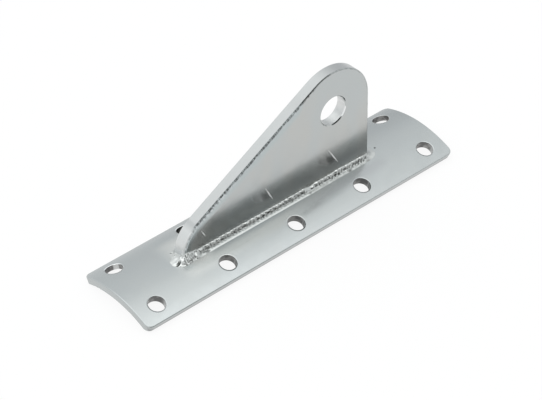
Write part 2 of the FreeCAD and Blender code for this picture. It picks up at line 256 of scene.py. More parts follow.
def make_floor():
    mesh = bpy.data.meshes.new("floor")
    s = FLOOR_HALF_SIZE
    mesh.from_pydata([(-s, -s, 0), (s, -s, 0), (s, s, 0), (-s, s, 0)], [], [(0, 1, 2, 3)])
    floor = bpy.data.objects.new("floor", mesh)
    bpy.context.collection.objects.link(floor)
    material = bpy.data.materials.new("pale_floor")
    material.use_nodes = True
    nodes = Nodes(material.node_tree)
    paths = nodes.add("LightPath").outputs
    seen = nodes.maths("MAXIMUM", paths["Is Camera Ray"], paths["Is Glossy Ray"])
    seen = nodes.maths("MAXIMUM", seen, paths["Is Transmission Ray"])
    share = nodes.times(seen, FLOOR_GLOW_SHARE)
    matt = nodes.add("BsdfDiffuse", (*FLOOR_COLOUR, 1))
    glow = nodes.add("Emission", (1, 1, 1, 1), 1.0)
    nodes.finish(nodes.add("MixShader", share, matt.outputs[0], glow.outputs[0]))
    mesh.materials.append(material)


def make_key_lamp():
    data = bpy.data.lights.new("soft_key", "AREA")
    data.shape = "DISK"
    data.size = KEY_WIDTH
    data.energy = KEY_POWER
    lamp = bpy.data.objects.new("soft_key", data)
    towards = spherical(KEY_AZIMUTH, KEY_ELEVATION)
    lamp.location = towards * KEY_DISTANCE
    lamp.rotation_mode = "QUATERNION"
    lamp.rotation_quaternion = (-towards).to_track_quat("-Z", "Y")
    bpy.context.collection.objects.link(lamp)


def new_steel(name):
    material = bpy.data.materials.new(name)
    material.use_nodes = True
    nodes = Nodes(material.node_tree)
    place = nodes.add("TexCoord").outputs["Object"]
    return material, nodes, place


def finish_steel(nodes, colour, roughness, normal, anisotropic=0.0, tangent=None):
    shader = nodes.add("BsdfPrincipled")
    nodes.plug(shader, "Base Color", colour)
    shader.inputs["Metallic"].default_value = 1
    nodes.plug(shader, "Roughness", roughness)
    nodes.plug(shader, "Normal", normal)
    shader.inputs["Anisotropic"].default_value = anisotropic
    nodes.plug(shader, "Tangent", tangent)
    nodes.finish(shader)


# Soot in the plate's spatter and on the weld, and painted shade in the plate's holes and in the weld's
# hollows and pits
SOOT_AND_SHADE = (0.03, 0.034, 0.031)

# The base plate. A mark on it or on the lug fades between two limits. They are in
# millimetres, in a hole's radii where the name says so, or levels of noise from 0 to 1.

SATIN_STEEL = (0.47, 0.50, 0.505)
SATIN_STEEL_WARM = (0.49, 0.51, 0.505)
PLATE_ROUGHNESS = (0.21, 0.27)
WAVE_HEIGHT = 0.03 * MM
BRUSHING_HEIGHT = 0.002 * MM
BRUSHING_STRETCH = (1, 14, 14)

# Painted reflection beside the weld: the plate is paler there towards the toe and darker towards the heel
BESIDE_WELD_LIGHT_STEEL = (0.61, 0.625, 0.61)
BESIDE_WELD_SHADE_STEEL = (0.45, 0.47, 0.475)
BESIDE_WELD_HALF_WIDTH = (8, 13)
BESIDE_WELD_HALF_LENGTH = (44, 52)
BESIDE_WELD_FADE_X = (-10, 22)
UNPAINTED_HALF_WIDTH = (5.0, 7.5)
TOE_END_X = (-38, -32)
# and paler still close by its toe, as painted light, where that starts further in on the far side
BESIDE_TOE_HIGHLIGHT_STEEL = (0.70, 0.71, 0.70)
BESIDE_TOE_HALF_WIDTH = (6.0, 9.0)
BESIDE_TOE_START_X = (-47.5, -44)
FAR_SIDE_Y = (0, 3)
FAR_SIDE_DELAY = 3 * MM

# A speck of spatter behind the heel, at this x and y in millimetres
SPATTER = (50.5, -0.75)
SPATTER_RADIUS = (0.25, 0.5)

# The sheared long sides, with painted shade darker towards the mast side, which rests on the floor
SIDE_STEEL = (0.42, 0.44, 0.44)
SIDE_SHADED_STEEL = (0.32, 0.33, 0.33)
SIDE_SHADE_DEPTH = (0.3, 2.4)
SHEARED_INSET = (1.2, 1.6)
SHEARED_DEPTH = (0.1, 0.5)

# The holes' drilled walls, darkened with painted shade. A side of a hole is a direction
# along the plate and across it, away from the crown, and a place is so many of the
# hole's radii towards it.
SHADED_WALL_STEEL = (0.14, 0.14, 0.14)
SHADED_WALL_STEEL_PALE = (0.30, 0.30, 0.295)
DRILLED_LEVELS = (0.4, 0.62)
WALL_MARGIN = (0.03, 0.12)
WALL_ROUGHNESS = 0.36
RIM_ROUND = 0.5 * MM
RIM_DROP = 0.26 * MM
OUTER_WALL_STEEL = (0.40, 0.41, 0.41)
OUTER_SIDE = (0.1, 0.99, 0)
OUTER_SIDE_RADII = (0.0, 0.4)
# The middle three of a row have deeper painted shade: the right row's most on two sides,
# and of the left row's the one next to the toe's
MIDDLE_HOLES_X = (45, 50)
DARK_SIDES = ((0.87, 0.5, 0), (-0.64, -0.77, 0))
DARK_SIDE_RADII = (0.90, 0.96)
DARK_SIDE_SHADE = 0.8
WALL_SHADE = 0.45
SECOND_HOLE_SHADE = 0.9
SECOND_HOLE_X = (-26, -24)
# The left row has a painted highlight, a pale line outside its rims, away from the crown
# and weaker towards the heel. Its end holes have painted highlights as bright lips on the
# mast side, and the toe one has a painted reflection as a pale stretch in its wall.
LIP_HIGHLIGHT_STEEL = (1.0, 1.0, 1.0)
LIP_ROUGHNESS = 0.12
LIP_DEPTH = (1.85, 2.05)
LIP_CHANGE_X = (-20, 20)
LIP_HEEL_LOSS = 0.25 * MM
RIM_HIGHLIGHT_STEEL = (0.93, 0.95, 0.95)
RIM_LINE_WIDTH = (0.5, 0.7)
RIM_LINE_SIDE = (0.3, 0.95, 0)
RIM_LINE_RADII = (0.3, 0.8)
RIM_LINE_CHANGE_X = (-30, -20)
RIM_LINE_HEEL_SHARE = 0.3
WALL_REFLECTION_STEEL = (0.60, 0.61, 0.605)
PALE_WALL_START_RADII = (0.36, 0.55)
PALE_WALL_END_RADII = (0.86, 0.95)
TOE_HOLE_X = (-50, -45)


def plate_face_colour(nodes, place, x, y, off_lug):
    colour = nodes.blend(nodes.grain(place, 90.0), SATIN_STEEL, SATIN_STEEL_WARM)
    toe_end = nodes.within(x, TOE_END_X)
    reflection_paint = nodes.blend(nodes.beyond(x, BESIDE_WELD_FADE_X), BESIDE_WELD_LIGHT_STEEL, BESIDE_WELD_SHADE_STEEL)
    band = nodes.times(
        nodes.within(off_lug, BESIDE_WELD_HALF_WIDTH),
        nodes.within(nodes.maths("ABSOLUTE", x), BESIDE_WELD_HALF_LENGTH),
        nodes.maths("MAXIMUM", nodes.beyond(off_lug, UNPAINTED_HALF_WIDTH), toe_end),
    )
    # Painted reflection beside the weld
    colour = nodes.blend(band, colour, reflection_paint)
    past_toe = nodes.maths("SUBTRACT", x, nodes.beyond(y, FAR_SIDE_Y, 0.0, FAR_SIDE_DELAY))
    toe_highlight = nodes.times(
        nodes.within(off_lug, BESIDE_TOE_HALF_WIDTH),
        toe_end,
        nodes.beyond(past_toe, BESIDE_TOE_START_X),
    )
    # Painted light close by the toe
    colour = nodes.blend(toe_highlight, colour, BESIDE_TOE_HIGHLIGHT_STEEL)
    off_spatter = nodes.vector("DISTANCE", place, (SPATTER[0] * MM, SPATTER[1] * MM, CROWN))
    return nodes.blend(nodes.within(off_spatter, SPATTER_RADIUS), colour, SOOT_AND_SHADE)


def from_hole_axis(nodes, x, off_lug, z):
    """The way from the axis of the nearest hole, along the plate and across it.

    The WRAP is how one hole's marks come to all five of a row."""
    along = nodes.maths("WRAP", x, -HOLE_PITCH / 2, HOLE_PITCH / 2)
    sine = abs(HOLES[0]["axis"][1])
    cosine = HOLES[0]["axis"][2]
    rise = nodes.times(nodes.maths("SUBTRACT", z, BEND_AXIS_Z), sine)
    across = nodes.maths("SUBTRACT", nodes.times(off_lug, cosine), rise)
    return nodes.join(along, across, 0.0)


def drilled_walls(nodes, place, x, depth, in_radii, left_row):
    """The colour, with painted shade, highlight and reflection, and the roughness of the holes' walls."""
    mottle = nodes.ramp(nodes.grain(place, 350.0), *DRILLED_LEVELS)
    # Painted shade: the walls are dark, less so on the outer side of the right row
    colour = nodes.blend(mottle, SHADED_WALL_STEEL, SHADED_WALL_STEEL_PALE)
    right_row = nodes.rest(left_row)
    outer = nodes.ramp(nodes.vector("DOT_PRODUCT", in_radii, OUTER_SIDE), *OUTER_SIDE_RADII)
    colour = nodes.blend(nodes.times(right_row, outer), colour, OUTER_WALL_STEEL)
    # Painted shade, deepest on the dark sides of the middle holes
    middle = nodes.within(nodes.maths("ABSOLUTE", x), MIDDLE_HOLES_X)
    towards_dark = [nodes.vector("DOT_PRODUCT", in_radii, side) for side in DARK_SIDES]
    right_shade = nodes.maths(
        "MAXIMUM",
        nodes.ramp(nodes.maths("MAXIMUM", *towards_dark), *DARK_SIDE_RADII, 0.0, DARK_SIDE_SHADE),
        nodes.times(nodes.rest(outer), WALL_SHADE),
    )
    left_shade = nodes.within(x, SECOND_HOLE_X, SECOND_HOLE_SHADE, WALL_SHADE)
    painted_shade = nodes.maths("MAXIMUM", nodes.times(right_shade, right_row), nodes.times(left_shade, left_row))
    colour = nodes.blend(nodes.times(middle, painted_shade), colour, SOOT_AND_SHADE)
    along = nodes.split(in_radii)[0]
    # Painted reflection: a pale stretch in the toe hole's wall
    pale = nodes.times(
        nodes.ramp(along, *PALE_WALL_START_RADII),
        nodes.ramp(along, *PALE_WALL_END_RADII, 1.0, 0.0),
        nodes.within(x, TOE_HOLE_X),
        left_row,
    )
    colour = nodes.blend(pale, colour, WALL_REFLECTION_STEEL)
    # Painted highlight: bright lips on the mast side of the left row's end holes
    lip_depth = nodes.maths("SUBTRACT", depth, nodes.beyond(x, LIP_CHANGE_X, 0.0, LIP_HEEL_LOSS))
    lip_highlight = nodes.times(nodes.beyond(lip_depth, LIP_DEPTH), left_row, nodes.rest(middle))
    colour = nodes.blend(lip_highlight, colour, LIP_HIGHLIGHT_STEEL)
    return colour, nodes.blend(lip_highlight, WALL_ROUGHNESS, LIP_ROUGHNESS)


def plate_steel():
    material, nodes, place = new_steel("satin_plate")
    x, y, z = nodes.split(place)
    off_lug = nodes.maths("ABSOLUTE", y)
    colour = plate_face_colour(nodes, place, x, y, off_lug)
    roughness = nodes.varied(place, 260.0, *PLATE_ROUGHNESS)
    # The sheared sides
    from_bend_axis = nodes.vector("LENGTH", nodes.join(0.0, y, nodes.maths("SUBTRACT", z, BEND_AXIS_Z)))
    depth = nodes.maths("SUBTRACT", PLATE_RADIUS, from_bend_axis)
    inset = nodes.maths("SUBTRACT", PLATE_HALF_WIDTH, off_lug)
    sheared = nodes.times(nodes.within(inset, SHEARED_INSET), nodes.beyond(depth, SHEARED_DEPTH))
    # Painted shade: darker towards the mast side, which rests on the floor
    side_colour = nodes.blend(nodes.beyond(depth, SIDE_SHADE_DEPTH), SIDE_STEEL, SIDE_SHADED_STEEL)
    colour = nodes.blend(sheared, colour, side_colour)
    # The holes: the wall is all that is nearer to a hole's axis than its rim
    from_axis = from_hole_axis(nodes, x, off_lug, z)
    off_rim = nodes.maths("SUBTRACT", nodes.vector("LENGTH", from_axis), HOLE_RADIUS)
    in_radii = nodes.vector("MULTIPLY", from_axis, (1 / HOLE_RADIUS, 1 / HOLE_RADIUS, 0))
    wall = nodes.within(off_rim, WALL_MARGIN)
    left_row = nodes.maths("GREATER_THAN", y, 0.0)
    wall_colour, wall_roughness = drilled_walls(nodes, place, x, depth, in_radii, left_row)
    # Painted highlight: a pale line outside the left row's rims
    rim_highlight = nodes.times(
        nodes.within(off_rim, RIM_LINE_WIDTH),
        nodes.ramp(nodes.vector("DOT_PRODUCT", in_radii, RIM_LINE_SIDE), *RIM_LINE_RADII),
        nodes.within(x, RIM_LINE_CHANGE_X, 1.0, RIM_LINE_HEEL_SHARE),
        left_row,
    )
    colour = nodes.blend(rim_highlight, colour, RIM_HIGHLIGHT_STEEL)
    colour = nodes.blend(wall, colour, wall_colour)
    roughness = nodes.blend(wall, roughness, wall_roughness)
    normal = nodes.bump(nodes.rounding(off_rim, RIM_ROUND), RIM_DROP)
    normal = nodes.bump(nodes.grain(place, 70.0, 1.0), WAVE_HEIGHT, normal)
    normal = nodes.bump(nodes.grain(place, 900.0, 2.0, BRUSHING_STRETCH), BRUSHING_HEIGHT, normal)
    finish_steel(nodes, colour, roughness, normal)
    return material


# The lug

LUG_STEEL = (0.48, 0.505, 0.505)
LUG_STEEL_WARM = (0.497, 0.505, 0.492)
DARK_BURR_SCRATCH_AND_REFLECTION_STEEL = (0.08, 0.085, 0.085)
LUG_MOTTLE_STRETCH = (1, 1, 0.4)
LUG_MOTTLE_LEVELS = (0.35, 0.65)
LUG_ROUGHNESS = (0.13, 0.16)
TOE_ROUGHNESS = 0.24
TOE_ROUGH_X = (-38, -31)
# Its near face is where the normal's Y is below this, and its cut edge where that Y,
# without its sign, is small
NEAR_NORMAL_Y = -0.2
CUT_NORMAL_Y = (0.3, 0.6)
# Its reflections smear upwards, as on plate rolled lengthways
SMEAR = 0.6
ROLLED_ALONG = (1, 0.05, 0.02)

# Its faces are cooler towards the slope's edge, with short pale and dark strokes across
LUG_STEEL_COOL = (0.465, 0.51, 0.515)
COOL_WIDTH = (2.0, 5.0)
STROKE_STRETCH = 0.2
STROKED_X = (-30, -14)
STROKES_HIGHER_UP = 0.25
PALE_STROKE_STEEL = (0.60, 0.64, 0.65)
PALE_STROKE_LEVELS = (0.5, 0.6)
PALE_STROKE_WIDTH = (1.2, 3.0)
PALE_STROKE_SHARE = 0.8
DARK_STROKE_LEVELS = (0.5, 0.42)
DARK_STROKE_WIDTH = (0.9, 1.9)
DARK_STROKE_SHARE = 0.55

# The cut edge is paler at the toe, most at its foot, and in the bore, and even over
# the top
CUT_STEEL = (0.53, 0.545, 0.545)
CUT_STEEL_DULL = (0.50, 0.515, 0.515)
CUT_TOE_STEEL = (0.70, 0.715, 0.71)
CUT_FOOT_STEEL = (0.86, 0.87, 0.87)
CUT_TOP_STEEL = (0.53, 0.545, 0.55)
CUT_ROUGHNESS = 0.38
CUT_TOE_X = (-42, -38.5)
CUT_FOOT_HEIGHT = (3.2, 5.2)
CUT_TOP_X = (30, 36)
BORE_STEEL = (0.74, 0.75, 0.745)
# Painted shade: the bore darkens towards its bottom
BORE_SHADED_STEEL = (0.64, 0.655, 0.65)
BORE_SHADE_HEIGHT = (-4.5, -2.0)
BORE_MARGIN = 0.2 * MM
# At the toe it is dressed over on to the near face
DRESSED_WIDTH = (0.3, 1.5)

# The cutter's burr: a ragged dark line along the near edge of the slope and the top, partly the burr and
# partly painted dark reflection in its bevel
BURR_START_X = (-41, -38.5)
BURR_FADE_X = (14, 22)
BURR_TOP_SHARE = 0.4
BURR_WIDTH_LEVELS = (0.35, 0.65)
BURR_WIDTHS = (0.6 * MM, 1.15 * MM)
BURR_THIN_X = (14, 24)
BURR_TOP_WIDTH_SHARE = 0.6
BURR_GAP_LEVELS = (0.29, 0.43)
BURR_STRENGTH_LEVELS = (0.35, 0.6)
BURR_STRENGTHS = (0.85, 1.0)
BURR_BEAD_LEVELS = (0.44, 0.54)
BURR_BEAD_STRENGTHS = (0.5, 1.0)

# Broken burrs round the near rim of the pin hole, with one stretch of painted glint: from
# and to which angle in degrees, how strong, and the colour
BORE_MARKS = [
    (-178, -150, 0.8, DARK_BURR_SCRATCH_AND_REFLECTION_STEEL), (-146, -120, 0.4, DARK_BURR_SCRATCH_AND_REFLECTION_STEEL), (-95, -54, 1.0, DARK_BURR_SCRATCH_AND_REFLECTION_STEEL),
    (-48, -8, 0.9, CUT_FOOT_STEEL), (21, 36, 0.95, DARK_BURR_SCRATCH_AND_REFLECTION_STEEL), (42, 70, 0.8, DARK_BURR_SCRATCH_AND_REFLECTION_STEEL),
]
MARK_FADE_ANGLE = 3
MARK_WIDTH = 0.3 * MM
MARK_DEPTH = 0.45 * MM

# Painted reflections: fine bright streaks low on the near face, the smeared glints of the near holes' rims.
# Their ends as x and height over the crown
STREAKS = [((-36.7, 8.8), (-35.1, 5.7)), ((-5.9, 11.5), (-2.9, 5.3)), ((25.3, 12.9), (29.6, 5.5))]
GLINT_REFLECTION_STEEL = (0.98, 0.99, 0.98)
STREAK_ROUGHNESS = 0.45
STREAK_HALF_WIDTH = (0.05, 0.32)
STREAK_HEIGHT = 0.04 * MM
# From and to which share of its length a streak grows and weakens, and how strong it is
# at those two
STREAK_RISE = (0.0, 0.5, 0.3, 1.0)
STREAK_FALL = (0.6, 1.0, 1.0, 0.4)

# The face rolls off a little towards the slope's edge, and more sharply at the toe
ROLL_WIDTH = 4.0 * MM
ROLL_DROP = 0.35 * MM
ROLL_END = (-12, 0)
TOE_ROUND = (0, 2.2)
TOE_DROP = 0.8 * MM


def lug_edge_distances(nodes, flat):
    """Three distances of a point of the lug's face.

    How far it is inside the slope and toe, with more added near the top, where the marks
    along the slope end. How far it is inside the outline, top included. Its way up the
    slope."""
    top_radius = LUG_HIGH.x - PIN_PLACE.x
    toe = Vector((LUG_LOW.x + LUG_TOE_RADIUS, 0, CROWN))
    top = Vector((PIN_PLACE.x, 0, LUG_HIGH.z - top_radius))
    apart = top - toe
    slope = math.atan2(apart.z, apart.x) + math.asin((top_radius - LUG_TOE_RADIUS) / apart.length)
    along = Vector((math.cos(slope), 0, math.sin(slope)))
    outward = Vector((-math.sin(slope), 0, math.cos(slope)))
    from_toe = nodes.vector("SUBTRACT", flat, toe)
    from_top = nodes.vector("SUBTRACT", flat, top)
    past_top = nodes.vector("DOT_PRODUCT", from_top, along)
    inside_line = nodes.maths("SUBTRACT", LUG_TOE_RADIUS, nodes.vector("DOT_PRODUCT", from_toe, outward))
    inside_toe = nodes.maths("SUBTRACT", LUG_TOE_RADIUS, nodes.vector("LENGTH", from_toe))
    at_toe = nodes.maths("LESS_THAN", nodes.vector("DOT_PRODUCT", from_toe, along), 0.0)
    slope_and_toe = nodes.blend(at_toe, inside_line, inside_toe)
    top_x, _, top_z = nodes.split(from_top)
    over_top = nodes.join(top_x, 0.0, nodes.maths("MAXIMUM", top_z, 0.0))
    inside_top = nodes.maths("SUBTRACT", top_radius, nodes.vector("LENGTH", over_top))
    at_top = nodes.maths("GREATER_THAN", past_top, 0.0)
    rolled = nodes.maths("ADD", slope_and_toe, nodes.beyond(past_top, ROLL_END, 0.0, 2 * ROLL_WIDTH))
    return rolled, nodes.blend(at_top, slope_and_toe, inside_top), nodes.vector("DOT_PRODUCT", flat, along)


def lug_face_colour(nodes, place, x, rolled, lengthways):
    mottle = nodes.ramp(nodes.grain(place, 70.0, 2.0, LUG_MOTTLE_STRETCH), *LUG_MOTTLE_LEVELS)
    colour = nodes.blend(mottle, LUG_STEEL, LUG_STEEL_WARM)
    colour = nodes.blend(nodes.within(rolled, COOL_WIDTH), colour, LUG_STEEL_COOL)
    strokes = nodes.grain(nodes.join(lengthways, nodes.times(rolled, STROKE_STRETCH), 0.0), 1500.0)
    stroked = nodes.within(x, STROKED_X, 1.0, STROKES_HIGHER_UP)
    pale = nodes.times(
        nodes.ramp(strokes, *PALE_STROKE_LEVELS),
        nodes.within(rolled, PALE_STROKE_WIDTH, PALE_STROKE_SHARE),
        stroked,
    )
    dark = nodes.times(
        nodes.ramp(strokes, *DARK_STROKE_LEVELS),
        nodes.within(rolled, DARK_STROKE_WIDTH, DARK_STROKE_SHARE),
        stroked,
    )
    colour = nodes.blend(pale, colour, PALE_STROKE_STEEL)
    return nodes.blend(dark, colour, DARK_BURR_SCRATCH_AND_REFLECTION_STEEL)


def lug_cut_edge(nodes, place, x, z, at_toe, off_pin, over_pin):
    """The colour of the cut edge and the bore."""
    colour = nodes.blend(nodes.grain(place, 300.0, 3.0), CUT_STEEL, CUT_STEEL_DULL)
    colour = nodes.blend(at_toe, colour, CUT_TOE_STEEL)
    at_foot = nodes.within(nodes.maths("SUBTRACT", z, CROWN), CUT_FOOT_HEIGHT)
    colour = nodes.blend(at_foot, colour, CUT_FOOT_STEEL)
    bore = nodes.maths("LESS_THAN", off_pin, PIN_RADIUS + BORE_MARGIN)
    bore_colour = nodes.blend(nodes.beyond(over_pin, BORE_SHADE_HEIGHT), BORE_SHADED_STEEL, BORE_STEEL)
    colour = nodes.blend(bore, colour, bore_colour)
    return nodes.blend(nodes.times(nodes.beyond(x, CUT_TOP_X), nodes.rest(bore)), colour, CUT_TOP_STEEL)


def lug_burr(nodes, place, x, inside, lengthways):
    """How strongly the cutter's burr, partly painted dark reflection, shows on the near face."""
    along = nodes.times(nodes.beyond(x, BURR_START_X), nodes.within(x, BURR_FADE_X, 1.0, BURR_TOP_SHARE))
    width = nodes.ramp(nodes.grain(place, 600.0), *BURR_WIDTH_LEVELS, *BURR_WIDTHS)
    width = nodes.times(width, nodes.within(x, BURR_THIN_X, 1.0, BURR_TOP_WIDTH_SHARE))
    edge = nodes.maths("LESS_THAN", inside, width)
    ragged = nodes.ramp(nodes.grain(place, 1100.0), *BURR_GAP_LEVELS)
    strong = nodes.ramp(nodes.grain(place, 160.0), *BURR_STRENGTH_LEVELS, *BURR_STRENGTHS)
    beads = nodes.grain(nodes.join(lengthways, 0.0, 0.0), 1400.0, 1.0)
    beads = nodes.ramp(beads, *BURR_BEAD_LEVELS, *BURR_BEAD_STRENGTHS)
    return nodes.times(along, edge, ragged, strong, beads)


def mark_bore(nodes, colour, y, off_pin, angle):
    """The colour with the marks on the near rim of the pin hole: burrs and a painted glint."""
    at_rim = nodes.times(
        nodes.maths("LESS_THAN", off_pin, PIN_RADIUS + MARK_WIDTH),
        nodes.maths("LESS_THAN", y, LUG_LOW.y + MARK_DEPTH),
    )
    for start, end, share, steel in BORE_MARKS:
        rising = [math.radians(start + side * MARK_FADE_ANGLE) for side in (-1, 1)]
        falling = [math.radians(end + side * MARK_FADE_ANGLE) for side in (-1, 1)]
        stretch = nodes.times(nodes.ramp(angle, *rising), nodes.ramp(angle, *falling, share, 0.0))
        colour = nodes.blend(nodes.times(at_rim, stretch), colour, steel)
    return colour


def lug_streaks(nodes, flat):
    """How strongly the painted reflections, bright streaks of glints, show."""
    painted_glints = 0.0
    for (x0, z0), (x1, z1) in STREAKS:
        start = Vector((x0 * MM, 0, CROWN + z0 * MM))
        span = Vector((x1 * MM, 0, CROWN + z1 * MM)) - start
        from_start = nodes.vector("SUBTRACT", flat, start)
        reached = nodes.vector("DOT_PRODUCT", from_start, span)
        way = nodes.clamped(nodes.maths("DIVIDE", reached, span.length_squared))
        nearest = nodes.vector("MULTIPLY", nodes.join(way, way, way), span)
        off = nodes.vector("DISTANCE", from_start, nearest)
        fading = nodes.times(nodes.ramp(way, *STREAK_RISE), nodes.ramp(way, *STREAK_FALL))
        streak = nodes.times(nodes.within(off, STREAK_HALF_WIDTH), fading)
        painted_glints = nodes.maths("MAXIMUM", painted_glints, streak)
    return painted_glints


def lug_steel():
    material, nodes, place = new_steel("satin_lug")
    x, y, z = nodes.split(place)
    facing = nodes.add("NewGeometry").outputs["True Normal"]
    facing_y = nodes.split(facing)[1]
    near = nodes.maths("LESS_THAN", facing_y, NEAR_NORMAL_Y)
    flat = nodes.vector("MULTIPLY", place, (1, 0, 1))
    rolled, inside, lengthways = lug_edge_distances(nodes, flat)
    from_pin = nodes.vector("SUBTRACT", flat, (PIN_PLACE.x, 0, PIN_PLACE.z))
    off_pin = nodes.vector("LENGTH", from_pin)
    past_pin, _, over_pin = nodes.split(from_pin)
    at_toe = nodes.within(x, CUT_TOE_X)
    # Colour
    cut = nodes.ramp(nodes.maths("ABSOLUTE", facing_y), *CUT_NORMAL_Y, 1.0, 0.0)
    cut = nodes.maths("MAXIMUM", cut, nodes.times(at_toe, nodes.within(inside, DRESSED_WIDTH)))
    painted_glints = nodes.times(lug_streaks(nodes, flat), near)
    colour = lug_face_colour(nodes, place, x, rolled, lengthways)
    colour = nodes.blend(cut, colour, lug_cut_edge(nodes, place, x, z, at_toe, off_pin, over_pin))
    # The cutter's burr, partly real and partly painted dark reflection
    colour = nodes.blend(nodes.times(lug_burr(nodes, place, x, inside, lengthways), near), colour, DARK_BURR_SCRATCH_AND_REFLECTION_STEEL)
    colour = mark_bore(nodes, colour, y, off_pin, nodes.maths("ARCTAN2", over_pin, past_pin))
    # Painted reflections: the near holes' rim glints, smeared up the face
    colour = nodes.blend(painted_glints, colour, GLINT_REFLECTION_STEEL)
    # Roughness
    roughness = nodes.varied(place, 200.0, *LUG_ROUGHNESS)
    roughness = nodes.blend(nodes.within(x, TOE_ROUGH_X), roughness, TOE_ROUGHNESS)
    roughness = nodes.blend(cut, roughness, CUT_ROUGHNESS)
    roughness = nodes.blend(painted_glints, roughness, STREAK_ROUGHNESS)
    # Relief
    normal = nodes.bump(nodes.rounding(rolled, ROLL_WIDTH), ROLL_DROP)
    toe_round = nodes.times(at_toe, nodes.within(inside, TOE_ROUND))
    normal = nodes.bump(nodes.rest(toe_round), TOE_DROP, normal)
    normal = nodes.bump(nodes.grain(place, 60.0, 1.0), WAVE_HEIGHT, normal)
    normal = nodes.bump(painted_glints, STREAK_HEIGHT, normal)
    across = nodes.vector("CROSS_PRODUCT", facing, ROLLED_ALONG)
    finish_steel(nodes, colour, roughness, normal, SMEAR, across)
    return material


# The weld's metal

WELD_STEEL = (0.635, 0.655, 0.64)
WELD_STEEL_DULL = (0.54, 0.56, 0.55)
WELD_HIGHLIGHT_STEEL = (0.84, 0.86, 0.85)
WELD_ROUGHNESS = (0.14, 0.26)
WELD_GRAIN_HEIGHT = 0.02 * MM


def weld_steel():
    """Its mesh says where soot and painted shade darken it, with a shade over 0, or a painted highlight
    brightens it, with one under 0.
    """
    material, nodes, place = new_steel("weld_steel")
    colour = nodes.blend(nodes.grain(place, 1200.0, 3.0), WELD_STEEL_DULL, WELD_STEEL)
    shade = nodes.add("Attribute", attribute_name="shade").outputs["Fac"]
    # Painted highlight where the shade is under 0, and soot with painted shade where it is over 0
    colour = nodes.blend(nodes.times(shade, -1.0), colour, WELD_HIGHLIGHT_STEEL)
    colour = nodes.blend(shade, colour, SOOT_AND_SHADE)
    roughness = nodes.varied(place, 900.0, *WELD_ROUGHNESS)
    normal = nodes.bump(nodes.grain(place, 2600.0), WELD_GRAIN_HEIGHT)
    finish_steel(nodes, colour, roughness, normal)
    return material


def dress(node, material):
    """Give a CAD node its material."""
    mesh = frame["nodes"][node].data
    mesh.materials.clear()
    mesh.materials.append(material)


# The weld's shape, in millimetres. It is one bead laid round the lug's foot, cut into
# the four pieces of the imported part. A place on it is the way gone round the foot from
# the near toe corner, negative on the toe's front, and a point of its section is (out
# from the lug, up from the plate), as shares of its reach and rise there. How far down
# a point is goes from 0 on the lug to 1 on the plate.

BEAD_SECTION = [
    (0, 1.0), (0.10, 0.955), (0.20, 0.865), (0.30, 0.73), (0.375, 0.56), (0.445, 0.37),
    (0.52, 0.225), (0.60, 0.185), (0.72, 0.16), (0.84, 0.115), (0.94, 0.05), (1, 0),
]
PUDDLE_SECTION = [
    (0, 1.0), (0.05, 0.8), (0.12, 0.62), (0.22, 0.46), (0.36, 0.33),
    (0.52, 0.23), (0.68, 0.155), (0.82, 0.09), (0.93, 0.035), (1, 0),
]
LUMP_SECTION = [
    (0, 1.0), (0.11, 0.95), (0.23, 0.86), (0.35, 0.75), (0.48, 0.61),
    (0.60, 0.47), (0.72, 0.33), (0.84, 0.19), (0.94, 0.07), (1, 0),
]
# Each at a place: how far the weld rises and reaches, how far its section is a
# puddle's, and how lumpy it is
RISES = [
    (-13, 1.7), (-9.6, 1.3), (-8.1, 1.3), (-6.5, 1.6), (-3.8, 1.9), (-2.4, 2.7), (0.7, 3.0),
    (2.7, 2.6), (4.7, 2.1), (7.0, 1.8), (57.7, 1.85), (61.3, 1.3), (62.6, 1.6), (64.5, 1.8),
    (72.0, 1.8), (75.2, 2.05), (84.0, 1.8), (90.3, 1.7), (92.5, 1.25), (98, 1.2), (101, 1.6),
    (104, 1.8),
]
REACHES = [
    (-12, 2.65), (-9.6, 2.2), (-8.6, 1.9), (-7.5, 1.6), (-6.2, 2.7), (-4.6, 3.75), (-3.0, 4.0),
    (-2.2, 3.55), (-1.3, 3.0), (0.5, 2.85), (6, 2.65), (88, 2.65), (91, 2.5), (93.4, 3.8),
    (95, 3.7), (97.5, 2.4), (100, 2.1), (103, 2.65),
]
PUDDLE_SHARES = [
    (-11, 0), (-8.6, 1), (-3.2, 1), (-2.0, 0.4), (0.5, 0), (89.3, 0), (91.3, 1), (99, 1), (102, 0),
]
LUMP_HEIGHTS = [(-3.3, 0), (-2.2, 0.22), (4.5, 0.26), (8.5, 0.0)]
FULL_LUMP_HEIGHT = 0.24
# Where the near bead's lip has painted shade: x, how far down, half length, half height,
# how dark, and how far it leans along x on the way down
SHADED_LIPS = [
    (-41.0, 0.80, 4.5, 0.35, 0.35, 0), (-36.0, 0.80, 1.6, 0.30, 0.55, 0), (14.0, 0.80, 1.0, 0.25, 0.35, 0),
    (34.0, 0.80, 1.3, 0.25, 0.40, 0), (44.5, 0.75, 3.2, 0.40, 0.2, 0),
]
